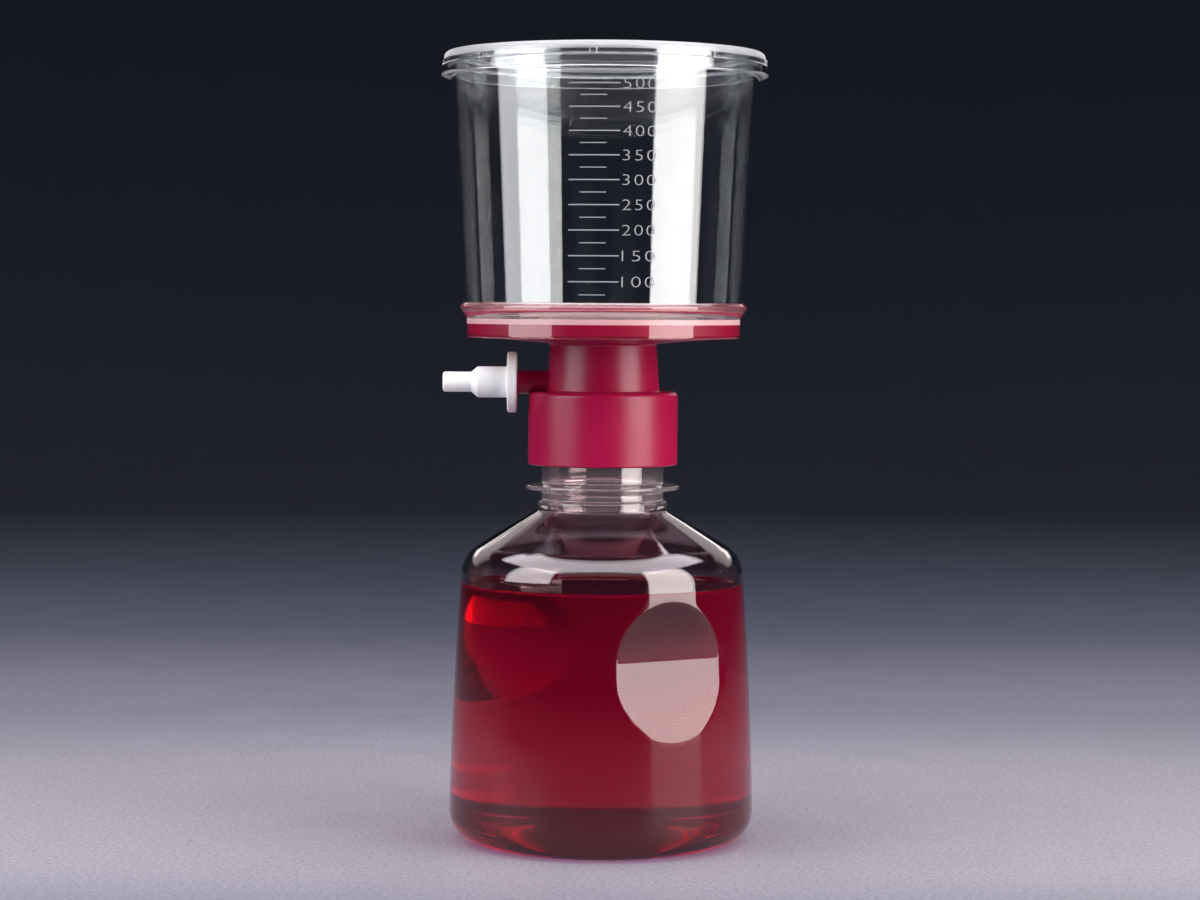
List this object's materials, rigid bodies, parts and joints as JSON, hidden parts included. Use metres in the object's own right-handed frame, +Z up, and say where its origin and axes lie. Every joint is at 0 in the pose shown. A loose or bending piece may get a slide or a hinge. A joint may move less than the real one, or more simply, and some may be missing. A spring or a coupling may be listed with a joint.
{
  "type": "vacuum filtration unit",
  "caption": "Bottle-type vacuum filtration unit: clear lidded upper chamber on a screw-on filter base with sidearm and hose adapter, over a clear receiver bottle holding filtrate.",
  "frame": {"origin": "centre of the receiver bottle's foot, on the table", "axes": "+Z up along the bottle's axis, the sidearm and hose adapter point along -X, the printed scale faces -Y"},
  "size_m": [0.1028, 0.1028, 0.2485],
  "materials": {
    "clear_bottle": "clear polystyrene, blow moulded, glossy",
    "filtrate": "deep red clear liquid",
    "gasket": "pale silicone rubber",
    "red_base": "crimson moulded plastic, soft gloss",
    "support": "white moulded plastic",
    "membrane": "white porous membrane",
    "clear_chamber": "clear polystyrene, glossy, white printed scale",
    "clear_lid": "clear polystyrene, glossy",
    "white_adapter": "white polypropylene, satin",
    "cotton": "white cotton wool"
  },
  "bodies": {
    "receiver": {"receiver_bottle": "clear_bottle", "filtrate": "filtrate"},
    "seal": {"neck_gasket": "gasket"},
    "head": {"filter_base": "red_base", "support_plate": "support", "membrane": "membrane", "upper_chamber": "clear_chamber"},
    "cover": {"lid": "clear_lid"},
    "adapter": {"hose_adapter": "white_adapter", "cotton_plug": "cotton"}
  },
  "joints": [
    {"name": "head_rise", "type": "slide", "parent": "receiver", "child": "seal", "axis": [0, 0, 1], "range_m": [0, 0.0212]},
    {"name": "head_turn", "type": "hinge", "parent": "seal", "child": "head", "pos_m": [0, 0, 0.1399], "axis": [0, 0, 1], "range_deg": [0, 1800]},
    {"name": "lid_lift", "type": "slide", "parent": "head", "child": "cover", "axis": [0, 0, 1], "range_m": [0, 0.03]},
    {"name": "adapter_pull", "type": "slide", "parent": "head", "child": "adapter", "axis": [-1, 0, 0], "range_m": [0, 0.02]}
  ],
  "couplings": [
    {"joint": "head_rise", "follows": "head_turn", "m_per_rad": 0.00067322}
  ]
}
